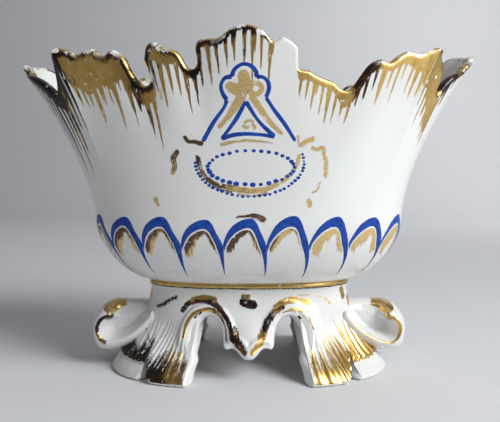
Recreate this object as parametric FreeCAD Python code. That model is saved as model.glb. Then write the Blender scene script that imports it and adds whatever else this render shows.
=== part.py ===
"""Footed rococo porcelain vessel: a flared oval bowl on a fluted, arched and scrolled base.

Millimetres, +Z up. The origin is on the table under the middle of the vessel, X runs
along the long axis and -Y is the painted front. The moulded members meet face to face,
as they do where slip joins them before firing.
"""
import FreeCAD, Part
import math
import os

# Bowl
bowl_height = 103.8          # table to the crest of the rim
rim_half_length = 74.4       # middle to the right end tip, at rim_tip_height
rim_left_lean = 2.6          # how much further the left end flares out at rim_tip_height
rim_half_depth = 31.0        # middle to the front wall, at rim_tip_height
rim_tip_height = 100.0
belly_half_length = 49.9
belly_half_depth = 28.5
belly_height = 48.0          # height of the fullest part of the belly
bowl_wall = 3.0
bowl_floor = 3.2
belly_roundness = 1.7        # 2 would be a true quarter ellipse
flare_power = 1.62           # 1 would be a straight flare to the end tips
belly_squareness = 2.3       # exponent of the plan, 2 is an ellipse
rim_squareness = 1.9

# Waist
waist_half_length = 32.5
waist_half_depth = 16.0
band_height = 1.9            # gilt band between the bowl and the neck
band_stand_out = 0.7
waist_height = 28.4          # table to the underside of the bowl

# Base
neck_height = 4.1            # plain collar under the band
base_wall = 4.2
foot_half_length = 46.0
foot_half_depth = 29.5
foot_flare_power_length = 1.8
foot_flare_power_depth = 1.5
foot_squareness = 2.5

# Openings in the base
arch_centre = 12.7           # middle of the base to the middle of an arch
arch_width = 9.2
arch_height = 18.4
arch_crown_radius = 4.2
arch_foot_radius = 0.5
pendant_drop = 11.6          # crown of the arches down to the tip of the pendant
pendant_half_width = 3.4
pendant_shoulder = 1.6       # tip of the pendant up to its shoulder
pendant_tip_radius = 1.4
pendant_shoulder_radius = 1.2
nub_height = 9.4             # lower end of the small scroll beside the pendant
nub_width = 2.0
nub_radius = 1.0
apron_half_length = 15.4     # middle of the base to the joint between apron and foot
toe_notch_width = 1.8        # gap between the two toes of a foot
toe_notch_height = 8.0
toe_notch_from_end = 13.4    # from the end of the foot ring, along X
side_gap_width = 6.0         # gap under a scroll, between the front and rear feet
side_gap_height = 3.4

# Side scrolls: a wing at each end whose raised, curling edge frames a hollow face
scroll_reach = 52.0          # middle of the base to the outside of a scroll
scroll_bottom = 3.9
scroll_top = 20.9
scroll_half_depth = 10.9     # middle plane to the crest of the raised edge
scroll_face_half_depth = 4.3     # middle plane to the hollow face

# Outline of a scroll on the middle plane: shares of its length and height, corner radius
scroll_outline = [
    (0.010, 0.590, 1.0),
    (0.160, 0.290, 2.0),
    (0.500, 0.090, 2.0),
    (0.700, 0.000, 2.0),
    (0.900, 0.040, 3.0),
    (1.000, 0.390, 3.0),
    (0.975, 0.680, 3.0),
    (0.830, 0.935, 3.0),
    (0.640, 1.000, 2.0),
    (0.050, 1.000, 1.0),
]

# Crest of its raised edge, point for point with the outline
scroll_crest = [
    (0.110, 0.830, 0.6),
    (0.240, 0.610, 2.0),
    (0.470, 0.370, 2.0),
    (0.660, 0.270, 2.0),
    (0.800, 0.320, 1.6),
    (0.857, 0.476, 1.6),
    (0.840, 0.630, 1.6),
    (0.764, 0.730, 1.4),
    (0.637, 0.794, 1.0),
    (0.156, 0.880, 0.6),
]

# Hollow between the raised edges, open at the top beside the curl
scroll_hollow = [
    (0.140, 0.790, 0.6),
    (0.265, 0.655, 1.0),
    (0.480, 0.445, 2.0),
    (0.650, 0.365, 1.6),
    (0.745, 0.400, 1.0),
    (0.785, 0.490, 1.0),
    (0.770, 0.585, 0.8),
    (0.720, 0.640, 0.8),
    (0.630, 0.680, 0.6),
    (0.610, 1.300, 0.6),
    (-0.100, 1.300, 0.6),
    (-0.100, 0.880, 0.6),
]

# Rim outline: share of the half length, drop below the crest, corner radius
rim_outline = [
    (-1.045, 4.35, 1.2),     # left end tip
    (-0.800, 17.4, 1.2),     # notch beside the corner
    (-0.790, 4.2, 0.8),      # left corner
    (-0.687, 6.9, 1.0),
    (-0.630, 4.9, 1.6),
    (-0.575, 8.0, 1.4),
    (-0.532, 5.4, 1.6),
    (-0.478, 8.6, 2.4),
    (-0.440, 16.5, 2.6),     # first deep valley
    (-0.368, 16.5, 1.6),
    (-0.408, 9.2, 3.0),
    (-0.397, 4.0, 1.3),
    (-0.345, 4.0, 1.6),
    (-0.325, 6.3, 2.0),
    (-0.277, 6.3, 2.2),
    (-0.238, 12.0, 1.0),     # second valley
    (-0.190, 12.0, 1.4),
    (-0.207, 7.6, 2.4),
    (-0.200, 3.1, 1.8),
    (-0.120, 3.9, 2.0),
    (-0.060, 0.0, 2.4),      # crest
    (0.025, 0.0, 2.4),
    (0.098, 5.3, 0.4),       # chip beside the crest
    (0.130, 2.8, 0.5),
    (0.190, 5.6, 0.6),
    (0.189, 11.8, 0.8),
    (0.238, 12.0, 1.0),      # long gilt slope
    (0.345, 15.0, 1.6),
    (0.367, 17.6, 2.4),      # right valley
    (0.424, 17.4, 3.0),
    (0.478, 9.6, 3.0),
    (0.525, 7.8, 1.6),
    (0.562, 9.8, 1.2),
    (0.632, 5.2, 2.4),
    (0.690, 6.4, 1.4),
    (0.730, 4.3, 1.6),
    (0.786, 4.0, 0.8),       # right corner
    (0.785, 7.6, 0.8),
    (0.806, 10.4, 1.4),
    (0.776, 17.6, 1.2),      # notch beside the corner
    (1.030, 2.45, 1.6),      # right end tip
]

clear = 5.0                  # how far a cutting solid runs past what it cuts
section_points = 32          # points that carry one oval section
high_sections = 6            # ovals in the straighter part of a loft
under_shares = (0.0, 0.06, 0.2, 0.5)     # places of the ovals under the belly, waist to belly
inner_under_shares = (0.0, 0.12, 0.4)
longest_fillet_share = 0.45      # most of a run that one rounded corner may take
outline_end_share = 1.2          # ends of the rim's cutting outline, as a share of the rim's half length


def oval(half_length, half_depth, squareness, height, left_extra=0.0):
    """Closed curve |x/a|^n + |y/b|^n = 1 at one height, with its left half a little longer."""
    points = []
    for i in range(section_points):
        angle = 2.0 * math.pi * i / section_points
        c, s = math.cos(angle), math.sin(angle)
        end = half_length if c > 0 else half_length + left_extra
        x = end * math.copysign(abs(c) ** (2.0 / squareness), c)
        y = half_depth * math.copysign(abs(s) ** (2.0 / squareness), s)
        points.append(FreeCAD.Vector(x, y, height))
    curve = Part.BSplineCurve()
    curve.interpolate(Points=points, PeriodicFlag=True)
    return Part.Wire([curve.toShape()])


def loft(sections):
    return Part.makeLoft([oval(*section) for section in sections], True, False)


def spread(low, high, count):
    return [low + (high - low) * i / (count - 1) for i in range(count)]


def rounded_outline(corners, place):
    """Straight runs between the corners, each corner rounded by a tangent arc.

    corners are (x, z, radius), and place(x, z) gives the point in space.
    """
    edges = []
    runs = []
    count = len(corners)
    for i, (x, z, radius) in enumerate(corners):
        before = corners[i - 1]
        after = corners[(i + 1) % count]
        back = (before[0] - x, before[1] - z)
        ahead = (after[0] - x, after[1] - z)
        back_length = math.hypot(*back)
        ahead_length = math.hypot(*ahead)
        cosine = (back[0] * ahead[0] + back[1] * ahead[1]) / (back_length * ahead_length)
        half = math.acos(max(-1.0, min(1.0, cosine))) / 2.0
        longest = longest_fillet_share * min(back_length, ahead_length)
        reach = min(radius / math.tan(half), longest)
        start = (x + back[0] / back_length * reach, z + back[1] / back_length * reach)
        end = (x + ahead[0] / ahead_length * reach, z + ahead[1] / ahead_length * reach)
        bisector = (start[0] + end[0] - 2.0 * x, start[1] + end[1] - 2.0 * z)
        bisector_length = math.hypot(*bisector)
        arc_radius = reach * math.tan(half)
        depth = reach / math.cos(half) - arc_radius
        middle = (x + bisector[0] / bisector_length * depth, z + bisector[1] / bisector_length * depth)
        runs.append((place(*start), place(*middle), place(*end)))
    for i, (start, middle, end) in enumerate(runs):
        edges.append(Part.Arc(start, middle, end).toShape())
        edges.append(Part.LineSegment(end, runs[(i + 1) % count][0]).toShape())
    return Part.Wire(edges)


def prism(corners, width):
    """Solid with a front view outline, centred on Y = 0."""
    def place(x, z):
        return FreeCAD.Vector(x, -width / 2.0, z)
    return Part.Face(rounded_outline(corners, place)).extrude(FreeCAD.Vector(0, width, 0))


def block(x0, x1, y0, y1, z0, z1):
    return Part.makeBox(x1 - x0, y1 - y0, z1 - z0, FreeCAD.Vector(x0, y0, z0))


def mirrored(corners):
    return corners + [(-x, z, radius) for x, z, radius in reversed(corners)]


def bowl_section(height, wall):
    """Sizes of the bowl's plan, less its wall, at one height, as oval takes them."""
    left_extra = 0.0
    if height < belly_height:
        share = (belly_height - height) / (belly_height - waist_height)
        swell = (1.0 - share ** belly_roundness) ** (1.0 / belly_roundness)
        half_length = waist_half_length + (belly_half_length - waist_half_length) * swell
        half_depth = waist_half_depth + (belly_half_depth - waist_half_depth) * swell
        squareness = belly_squareness
    else:
        share = (height - belly_height) / (rim_tip_height - belly_height)
        half_length = belly_half_length + (rim_half_length - belly_half_length) * share ** flare_power
        half_depth = belly_half_depth + (rim_half_depth - belly_half_depth) * share ** 2
        squareness = belly_squareness + (rim_squareness - belly_squareness) * share ** 2
        left_extra = rim_left_lean * share
    return half_length - wall, half_depth - wall, squareness, height, left_extra


def bowl():
    top = bowl_height + clear
    under = [waist_height + (belly_height - waist_height) * share for share in under_shares]
    heights = under + spread(belly_height, top, high_sections)
    outside = loft([bowl_section(height, 0.0) for height in heights])
    floor = waist_height + bowl_floor
    inner_under = [floor + (belly_height - floor) * share for share in inner_under_shares]
    inner_heights = inner_under + spread(belly_height, top + clear, high_sections)
    inside = loft([bowl_section(height, bowl_wall) for height in inner_heights])
    corners = [(share * rim_half_length, bowl_height - drop, radius) for share, drop, radius in rim_outline]
    low = waist_height - clear
    end = outline_end_share * rim_half_length
    left_end = [(-end, low, 1.0), (-end, corners[0][1], 1.0)]
    right_end = [(end, corners[-1][1], 1.0), (end, low, 1.0)]
    keep = prism(left_end + corners + right_end, 2.0 * rim_half_depth + 2.0 * clear)
    return outside.cut(inside).common(keep)


def waist_band():
    low = waist_height - band_height
    middle = waist_height - band_height / 2.0
    stand_out = band_stand_out
    outside = loft([
        (waist_half_length, waist_half_depth, belly_squareness, low),
        (waist_half_length + stand_out, waist_half_depth + stand_out, belly_squareness, middle),
        (waist_half_length, waist_half_depth, belly_squareness, waist_height),
    ])
    inner = oval(waist_half_length - base_wall, waist_half_depth - base_wall, belly_squareness, low)
    hole = Part.Face(inner).extrude(FreeCAD.Vector(0, 0, band_height))
    return outside.cut(hole)


def base_section(height, wall):
    """Half length, half depth and squareness of the base, less its wall, at one height."""
    neck_top = waist_height - band_height
    share = (neck_top - height) / neck_top
    longer = (foot_half_length - waist_half_length) * share ** foot_flare_power_length
    deeper = (foot_half_depth - waist_half_depth) * share ** foot_flare_power_depth
    squareness = belly_squareness + (foot_squareness - belly_squareness) * share
    return waist_half_length + longer - wall, waist_half_depth + deeper - wall, squareness, height


def base_solid(wall):
    """The whole base, filled, less a wall all round."""
    neck_top = waist_height - band_height
    return loft([base_section(height, wall) for height in spread(0.0, neck_top, high_sections)])


def base_openings():
    """The two arches with the pendant between them, cut from front to rear."""
    inner = arch_centre - arch_width / 2.0
    outer = arch_centre + arch_width / 2.0
    tip = arch_height - pendant_drop
    half = [
        (-outer, -clear, arch_foot_radius),
        (-outer, arch_height, arch_crown_radius),
        (-inner, arch_height, arch_crown_radius),
        (-inner, nub_height, nub_radius),
        (-inner + nub_width, nub_height, nub_radius),
        (-pendant_half_width, tip + pendant_shoulder, pendant_shoulder_radius),
        (-pendant_half_width / 2.0, tip, pendant_tip_radius),
    ]
    return prism(mirrored(half), 2.0 * foot_half_depth + 2.0 * clear)


def toe_notch(side_x, side_y):
    """Thin upright slot between the two toes of one foot, square to the foot ring."""
    reach = 2.0 * base_wall + clear
    slot = block(-toe_notch_width / 2.0, toe_notch_width / 2.0, -reach, reach, -clear, toe_notch_height)
    x = foot_half_length - toe_notch_from_end
    share = (x / foot_half_length) ** foot_squareness
    y = foot_half_depth * (1.0 - share) ** (1.0 / foot_squareness)
    slope_x = x ** (foot_squareness - 1.0) / foot_half_length ** foot_squareness
    slope_y = y ** (foot_squareness - 1.0) / foot_half_depth ** foot_squareness
    angle = math.degrees(math.atan2(-side_x * slope_x, side_y * slope_y))
    slot.rotate(FreeCAD.Vector(0, 0, 0), FreeCAD.Vector(0, 0, 1), angle)
    slot.translate(FreeCAD.Vector(side_x * x, side_y * y, 0))
    return slot


def base_ring():
    """Hollow base with its arches, toe notches and side gaps."""
    ring = base_solid(0.0).cut(base_solid(base_wall))
    ring = ring.cut(base_openings())
    for side_x in (-1, 1):
        for side_y in (-1, 1):
            ring = ring.cut(toe_notch(side_x, side_y))
    end = foot_half_length + clear
    gap = block(-end, end, -side_gap_width / 2.0, side_gap_width / 2.0, -clear, side_gap_height)
    return ring.cut(gap)


def side_scroll(side):
    """Wing at one end: it widens from its outline to the two raised edges, and each face is hollowed."""
    root = waist_half_length - base_wall

    length = scroll_reach - root
    height = scroll_top - scroll_bottom

    def wire(shares, y):
        def place(x, z):
            return FreeCAD.Vector(side * x, y, z)
        corners = []
        for along, up, radius in shares:
            corners.append((root + length * along, scroll_bottom + height * up, radius))
        return rounded_outline(corners, place)

    front_edge = wire(scroll_crest, -scroll_half_depth)
    rear_edge = wire(scroll_crest, scroll_half_depth)
    wing = Part.makeLoft([front_edge, wire(scroll_outline, 0.0), rear_edge], True, True)
    deep = scroll_half_depth + clear - scroll_face_half_depth
    for toward in (-1, 1):
        face = Part.Face(wire(scroll_hollow, toward * scroll_face_half_depth))
        wing = wing.cut(face.extrude(FreeCAD.Vector(0, toward * deep, 0)))
    return wing.cut(base_solid(0.0))


def parts():
    pieces = {}
    neck_top = waist_height - band_height
    neck_low = neck_top - neck_height
    reach = 2.0 * foot_half_length
    ring = base_ring()
    pieces["bowl"] = bowl()
    pieces["waist_band"] = waist_band()
    pieces["neck"] = ring.common(block(-reach, reach, -reach, reach, neck_low, neck_top + clear))
    skirt = ring.common(block(-reach, reach, -reach, reach, -clear, neck_low))
    for end_name, side_y in (("front", -1), ("rear", 1)):
        y0, y1 = sorted((0.0, side_y * reach))
        half = skirt.common(block(-reach, reach, y0, y1, -clear, neck_top))
        middle = block(-apron_half_length, apron_half_length, y0, y1, -clear, neck_top)
        pieces[end_name + "_apron"] = half.common(middle)
        for side_name, side_x in (("left", -1), ("right", 1)):
            x0, x1 = sorted((side_x * apron_half_length, side_x * reach))
            corner = block(x0, x1, y0, y1, -clear, neck_top)
            pieces["foot_" + end_name + "_" + side_name] = half.common(corner)
    for side_name, side_x in (("left", -1), ("right", 1)):
        pieces["side_scroll_" + side_name] = side_scroll(side_x)
    return pieces


os.makedirs("parts", exist_ok=True)
for name, shape in parts().items():
    solids = shape.Solids
    box = shape.BoundBox
    print("%-20s solids %d valid %s volume %9.1f box %6.1f %6.1f | %6.1f %6.1f | %6.1f %6.1f" % (
        name, len(solids), shape.isValid(), shape.Volume,
        box.XMin, box.XMax, box.YMin, box.YMax, box.ZMin, box.ZMax))
    if len(solids) == 1:
        shape = solids[0]
    shape.exportStep("parts/" + name + ".step")
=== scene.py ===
import math

import bpy
import numpy as np
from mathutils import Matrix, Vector


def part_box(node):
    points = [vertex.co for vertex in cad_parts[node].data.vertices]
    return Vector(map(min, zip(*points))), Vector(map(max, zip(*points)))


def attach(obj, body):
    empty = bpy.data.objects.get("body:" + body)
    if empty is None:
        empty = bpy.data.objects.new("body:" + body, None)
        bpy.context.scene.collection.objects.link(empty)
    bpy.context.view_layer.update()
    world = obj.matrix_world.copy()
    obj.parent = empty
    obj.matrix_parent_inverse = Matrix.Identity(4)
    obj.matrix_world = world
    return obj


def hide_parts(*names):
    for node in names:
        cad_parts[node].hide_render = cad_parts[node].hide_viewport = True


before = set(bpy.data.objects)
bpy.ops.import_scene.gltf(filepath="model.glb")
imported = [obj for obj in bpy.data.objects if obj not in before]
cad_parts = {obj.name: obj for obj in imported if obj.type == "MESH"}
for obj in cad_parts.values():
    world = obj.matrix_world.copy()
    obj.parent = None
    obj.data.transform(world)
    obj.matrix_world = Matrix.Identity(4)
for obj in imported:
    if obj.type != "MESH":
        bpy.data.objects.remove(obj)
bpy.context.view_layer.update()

# Lengths are in millimetres in this file, and newPiece turns them into metres.
mm = 0.001
middleOfVessel = (0.0, 0.0, 60.0)
uvScale = 0.01      # brush coordinates are stored in hundreds of millimetres
chance = np.random.default_rng(23)


def boxOf(node):
    # low and high corner of a node of the frame, in millimetres
    low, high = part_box(node)
    return np.array(low) / mm, np.array(high) / mm


def rise(value, low, high):
    # 0 below low, 1 above high and the cubic 3t^2 - 2t^3 between them
    t = np.clip((value - low) / (high - low), 0.0, 1.0)
    return t * t * (3.0 - 2.0 * t)


def bell(value, centre, width):
    # exp(-((value - centre) / width)^2)
    return np.exp(-((value - centre) / width) ** 2)


def unit(vectors):
    return vectors / np.maximum(np.linalg.norm(vectors, axis=-1, keepdims=True), 1e-12)


def curveThrough(knots, count):
    # Catmull-Rom: between two knots p + t (q - o) / 2 + ... , the cubic whose slope at a knot joins its neighbours
    knots = np.asarray(knots, float)
    padded = np.concatenate([2 * knots[:1] - knots[1:2], knots, 2 * knots[-1:] - knots[-2:-1]])
    place = np.linspace(0.0, len(knots) - 1.0, count)
    index = np.minimum(place.astype(int), len(knots) - 2)
    t = (place - index)[:, None]
    o, p, q, r = (padded[index + k] for k in range(4))
    return 0.5 * (2 * p + (q - o) * t + (2 * o - 5 * p + 4 * q - r) * t ** 2 + (3 * p - o - 3 * q + r) * t ** 3)


def evenly(path, count, closing=None):
    # rows at equal steps of length along the path that the first three columns draw; closing is what one turn
    # of a closed loop adds to a row
    if closing is not None:
        path = np.concatenate([path, path[:1] + closing])
    length = np.concatenate([[0.0], np.cumsum(np.linalg.norm(np.diff(path[:, :3], axis=0), axis=1))])
    wanted = np.linspace(0.0, length[-1], count, endpoint=closing is None)
    return np.stack([np.interp(wanted, length, column) for column in path.T], 1)


def roundLoop(point, columns, count):
    # a closed loop of angle, height and anything else, at equal steps along its surface
    place = point(columns[:, 0], columns[:, 1])
    closing = np.zeros(3 + columns.shape[1])
    closing[3] = 2.0 * math.pi
    return evenly(np.column_stack([place, columns]), count, closing)


def softened(values, spread):
    # moving Gaussian average of a closed loop, spread in samples, by its Fourier transform
    wave = np.fft.rfftfreq(len(values)) * 2.0 * math.pi
    return np.fft.irfft(np.fft.rfft(values) * np.exp(-0.5 * (wave * spread) ** 2), len(values))


def roundTurns(count):
    # angles at even steps of one turn
    return np.linspace(0.0, 2 * math.pi, count, endpoint=False)


def calmedLoop(point, columns, dense, spreads, count):
    # roundLoop at count steps, after a moving average of each column with its own spread in millimetres
    even = roundLoop(point, columns, dense)
    step = np.linalg.norm(even[1, :3] - even[0, :3])
    ramp = roundTurns(dense)
    calm = [softened(even[:, 3] - ramp, spreads[0] / step) + ramp]
    calm += [softened(column, spread / step) for column, spread in zip(even[:, 4:].T, spreads[1:])]
    return roundLoop(point, np.stack(calm, 1), count)[:, 3:].T


def loopSlope(values, closing=0.0):
    # central difference round a loop whose value grows by closing in one turn
    ahead, behind = np.roll(values, -1), np.roll(values, 1)
    ahead[-1] += closing
    behind[0] -= closing
    return (ahead - behind) / 2.0


def gridFaces(rows, columns, closedRows=False, closedColumns=False):
    # quads (i, j), (i, j+1), (i+1, j+1), (i+1, j) over a grid of rows x columns
    i = np.arange(rows if closedRows else rows - 1)
    j = np.arange(columns if closedColumns else columns - 1)
    i, j = np.meshgrid(i, j, indexing="ij")
    nextI, nextJ = (i + 1) % rows, (j + 1) % columns
    faces = np.stack([i * columns + j, i * columns + nextJ, nextI * columns + nextJ, nextI * columns + j], -1)
    return faces.reshape(-1, 4)


def joinGrids(grids):
    # points and faces of many separate grids as one mesh
    faces, used = [], 0
    for grid in grids:
        faces.append(gridFaces(*grid.shape[:2]) + used)
        used += grid.shape[0] * grid.shape[1]
    return np.concatenate([grid.reshape(-1, 3) for grid in grids]), faces


def tubeFaces(rows, columns):
    # a tube of closed rows with a fan at either end, whose two middle points come after the grid's
    ring = np.arange(columns)
    after, size = (ring + 1) % columns, rows * columns
    first = np.stack([np.full(columns, size), after, ring], 1)
    last = np.stack([np.full(columns, size + 1), size - columns + ring, size - columns + after], 1)
    return [gridFaces(rows, columns, closedColumns=True), first, last]


def withPoles(values, width=1):
    # a value for every point of such a tube, the two middle points taking that of the first and last
    values = values.reshape(-1, width)
    return np.concatenate([values, values[:1], values[-1:]])


def newPiece(name, points, faces, material, slot, nodes=(), uv=None, fields=None, normals=None):
    # points (n, 3) in millimetres and a list of index arrays, all turned the other way where the sum of
    # (face centre - middle of the vessel) . face normal is negative
    points = np.asarray(points, float)
    flow = 0.0
    for block in faces:
        corners = points[block]
        area = np.cross(corners[:, 1] - corners[:, 0], corners[:, 2] - corners[:, 0])
        flow += ((corners.mean(1) - middleOfVessel) * area).sum()
    turn = 1 if flow > 0 else -1
    mesh = bpy.data.meshes.new(name)
    mesh.from_pydata((points * mm).tolist(), [], [face for block in faces for face in block[:, ::turn].tolist()])
    mesh.polygons.foreach_set("use_smooth", np.ones(len(mesh.polygons), bool))
    if uv is not None:
        corner = np.empty(len(mesh.loops), np.int32)
        mesh.loops.foreach_get("vertex_index", corner)
        layer = mesh.uv_layers.new(name="brush")
        layer.uv.foreach_set("vector", np.asarray(uv, np.float32).reshape(-1, 2)[corner].ravel())
    for label, values in (fields or {}).items():
        layer = mesh.attributes.new(label, "FLOAT", "POINT")
        layer.data.foreach_set("value", np.asarray(values, np.float32).ravel())
    mesh.update()
    if normals is not None:
        mesh.normals_split_custom_set_from_vertices((unit(np.asarray(normals))).tolist())
    mesh.materials.append(material)
    piece = bpy.data.objects.new(name, mesh)
    bpy.context.scene.collection.objects.link(piece)
    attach(piece, "root")
    if nodes:
        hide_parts(*nodes)
    return piece


class Wire:
    # a shader socket that can be used in Python sums
    def __init__(self, tree, socket=None):
        self.tree = tree
        self.socket = socket

    def node(self, kind, settings=None, inputs=None, outlet=0):
        made = self.tree.nodes.new(kind)
        for label, value in (settings or {}).items():
            setattr(made, label, value)
        for label, value in (inputs or {}).items():
            if isinstance(value, Wire):
                self.tree.links.new(value.socket, made.inputs[label])
            else:
                made.inputs[label].default_value = value
        return Wire(self.tree, made.outputs[outlet])

    def maths(self, operation, *values):
        return self.node("ShaderNodeMath", {"operation": operation}, dict(enumerate(values)))

    def __add__(self, other):
        return self.maths("ADD", self, other)

    def __radd__(self, other):
        return self.maths("ADD", other, self)

    def __sub__(self, other):
        return self.maths("SUBTRACT", self, other)

    def __rsub__(self, other):
        return self.maths("SUBTRACT", other, self)

    def __mul__(self, other):
        return self.maths("MULTIPLY", self, other)

    def __rmul__(self, other):
        return self.maths("MULTIPLY", other, self)

    def __truediv__(self, other):
        return self.maths("DIVIDE", self, other)

    def largest(self, other):
        return self.maths("MAXIMUM", self, other)

    def rise(self, low, high):
        # 0 at low, 1 at high, smooth between them
        return self.node("ShaderNodeMapRange", {"interpolation_type": "SMOOTHSTEP"},
                         {"Value": self, "From Min": low, "From Max": high})

    def blend(self, first, second):
        # colour between two colours or colour wires, self being the share of the second
        return self.node("ShaderNodeMix", {"data_type": "RGBA"}, {0: self, 6: first, 7: second}, 2)

    def field(self, label):
        return self.node("ShaderNodeAttribute", {"attribute_name": label}, {}, "Fac")

    def noise(self, vector, scale, detail=2.0, roughness=0.5):
        return self.node("ShaderNodeTexNoise", {}, {"Vector": vector, "Scale": scale, "Detail": detail,
                                                    "Roughness": roughness})

    def stretched(self, across, along, detail=3.0, roughness=0.65):
        # noise drawn out along the brush strokes
        spot = self.node("ShaderNodeCombineXYZ", {}, {0: across, 1: along})
        return self.noise(spot, 1.0, detail, roughness)


def newMaterial(name):
    material = bpy.data.materials.new(name)
    material.use_nodes = True
    shader = next(node for node in material.node_tree.nodes if node.type == "BSDF_PRINCIPLED")
    return material, Wire(material.node_tree), shader


def setSockets(shader, values):
    for label, value in values.items():
        if isinstance(value, Wire):
            value.tree.links.new(value.socket, shader.inputs[label])
        else:
            shader.inputs[label].default_value = value


glazeLook = {"white": (0.80, 0.805, 0.79, 1.0), "roughness": 0.14, "coat": 0.3, "coatRoughness": 0.04}
richGold = {
    "metal": 1.0,
    "roughness": 0.33,
    "bright": (0.64, 0.39, 0.10, 1.0),
    "pale": (0.80, 0.57, 0.22, 1.0),
    "brown": (0.075, 0.028, 0.010, 1.0),
    "black": (0.010, 0.007, 0.006, 1.0),
}
# gold thin enough to show its grain
thinGold = {**richGold, "metal": 0.45, "bright": (0.74, 0.53, 0.24, 1.0), "brown": (0.115, 0.056, 0.022, 1.0),
            "black": richGold["brown"]}
combing = {
    "lane": 1.7,        # width of the lane that each stroke runs down
    "drift": 1.5,       # how far a lane wanders sideways
    "shortest": 0.55,   # a stroke's own length, as a share of the longest, is this plus up to the spread
    "spread": 0.55,
    "fill": 0.50,       # share of its lane that a stroke fills, and what each millimetre of solid band adds
    "fuller": 0.055,
}


def brushwork(make):
    # noises shared by all the gilding; brush coordinates are millimetres across and along the strokes
    place = make.node("ShaderNodeTexCoord", {}, {}, "Object")
    brush = make.node("ShaderNodeUVMap", {"uv_map": "brush"})
    across = make.node("ShaderNodeSeparateXYZ", {}, {0: brush}, 0) * (1.0 / uvScale)
    along = make.node("ShaderNodeSeparateXYZ", {}, {0: brush}, 1) * (1.0 / uvScale)
    return {
        "place": place, "across": across, "along": along,
        "scratch": make.stretched(across * 3.2, along * 0.16),
        "hair": make.stretched(across * 1.6, along * 0.13, 3.0, 0.7),
        "speckle": make.noise(place, 2400.0, 2.0, 0.6),
        "mottled": make.noise(place, 230.0, 3.0, 0.6),
        "waves": make.noise(place, 85.0, 1.0),
    }


def gildedSockets(make, shader, brush, gilt, tarnish, gold=richGold, alone=False):
    # gold where gilt is 1, brown to black where tarnish and painted shade and the noises say so, and the glaze
    # elsewhere unless alone
    glaze = glazeLook
    scratch, mottled = brush["scratch"] - 0.5, brush["mottled"]
    # painted shade: the brown and black share of the gold is real tarnish and also painted dark reflection and shade
    # on the side away from the light
    dark = (tarnish + (mottled - 0.5) * 1.1 + scratch * 0.9 - 0.5).rise(-0.12, 0.18)
    clean = (mottled + scratch).rise(0.3, 0.75).blend(gold["bright"], gold["pale"])
    darkenedGold = (mottled + tarnish * 0.35).rise(0.55, 0.95).blend(gold["brown"], gold["black"])
    colour = dark.blend(clean, darkenedGold)
    metallic = (1.0 - dark * 0.4) * gold["metal"]
    height = brush["waves"] * 0.3 + gilt * (0.4 + brush["scratch"]) * 0.1
    setSockets(shader, {
        "Base Color": colour if alone else gilt.blend(glaze["white"], colour),
        "Metallic": metallic if alone else gilt * metallic,
        "Roughness": glaze["roughness"] + gilt * (gold["roughness"] - glaze["roughness"] + scratch * 0.25),
        "Coat Weight": glaze["coat"],
        "Coat Roughness": glaze["coatRoughness"],
        "Normal": make.node("ShaderNodeBump", {}, {"Height": height, "Strength": 0.3, "Distance": 0.0004}),
    })


def rimGlaze():
    # Glaze with combed gilding: a point is gilt where it is nearer the edge (drop) than its own stroke is
    # long (reach times a random length for each stroke), or nearer than the solid band, unless rubbed off.
    look = combing
    material, make, shader = newMaterial("rimGilding")
    brush = brushwork(make)
    across, scratch, speckle = brush["across"], brush["scratch"] - 0.5, brush["speckle"] - 0.5
    drop, reach, solid = make.field("drop"), make.field("reach"), make.field("solid")
    drift = (make.stretched(across * 0.5, brush["along"] * 0.03, 1.0, 0.5) - 0.5) * look["drift"]
    lane = (across + drift) / look["lane"]
    cell = make.maths("FLOOR", lane)
    offCentre = make.maths("ABSOLUTE", lane - cell - 0.5) * 2.0
    own = make.node("ShaderNodeTexWhiteNoise", {"noise_dimensions": "1D"}, {"W": cell}, "Value")
    share = drop / (reach * (look["shortest"] + look["spread"] * own)).largest(0.05)
    thick = look["fill"] + look["fuller"] * solid
    strokes = (thick * (1.15 - share * 0.85) - offCentre + scratch * 0.8).rise(-0.02, 0.16)
    strokes = strokes * (1.0 - share + scratch * 0.6).rise(0.0, 0.1) * (reach - 0.1).rise(0.0, 0.05)
    band = (solid - drop + scratch * 2.2 + speckle * 0.4).rise(-0.05, 0.2) * solid.rise(0.05, 0.1)
    uneven = make.noise(brush["place"], 330.0, 3.0, 0.6) + speckle * 0.2
    rubbed = (uneven - drop * 0.2 - 0.46).rise(0.0, 0.05)
    kept = (make.noise(brush["place"], 430.0, 3.0, 0.65) + scratch * 0.5).rise(0.28, 0.35)
    gilt = strokes.largest(band) * (1.0 - make.field("rub") * rubbed) * kept
    gildedSockets(make, shader, brush, gilt, make.field("tarnish"))
    return material


def paintedGilding(name, patch=False):
    # Gilding painted as shapes: gold where inside, the distance in from a shape's outline, and its fraying by
    # the brush noises add up to more than 0. A patch is thin and grainy, and shows nothing outside its shape.
    material, make, shader = newMaterial(name)
    brush = brushwork(make)
    fray = make.field("ragged")
    grain = (brush["scratch"] - 0.5) * 0.5
    worn = (make.noise(brush["place"], 480.0, 3.0, 0.65) + grain).rise(0.30, 0.37)
    frayed = (brush["hair"] - 0.5) * fray * 2.0
    edge = make.field("inside") + frayed + (brush["speckle"] - 0.5) * (0.35 + fray * 0.8)
    if not patch:
        gildedSockets(make, shader, brush, edge.rise(-0.04, 0.10) * worn, make.field("tarnish"))
        return material
    crumbs = (make.maths("MINIMUM", fray, 1.1) - 0.65).largest(0.0) * (brush["speckle"] - 0.40) * 5.0
    gilt = (edge - crumbs).rise(-0.06, 0.28) * worn
    gildedSockets(make, shader, brush, gilt, make.field("tarnish"), thinGold, alone=True)
    dusty = (brush["speckle"] + grain).rise(0.25, 0.62)
    setSockets(shader, {"Alpha": gilt * (0.72 + 0.28 * dusty)})
    return material


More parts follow.
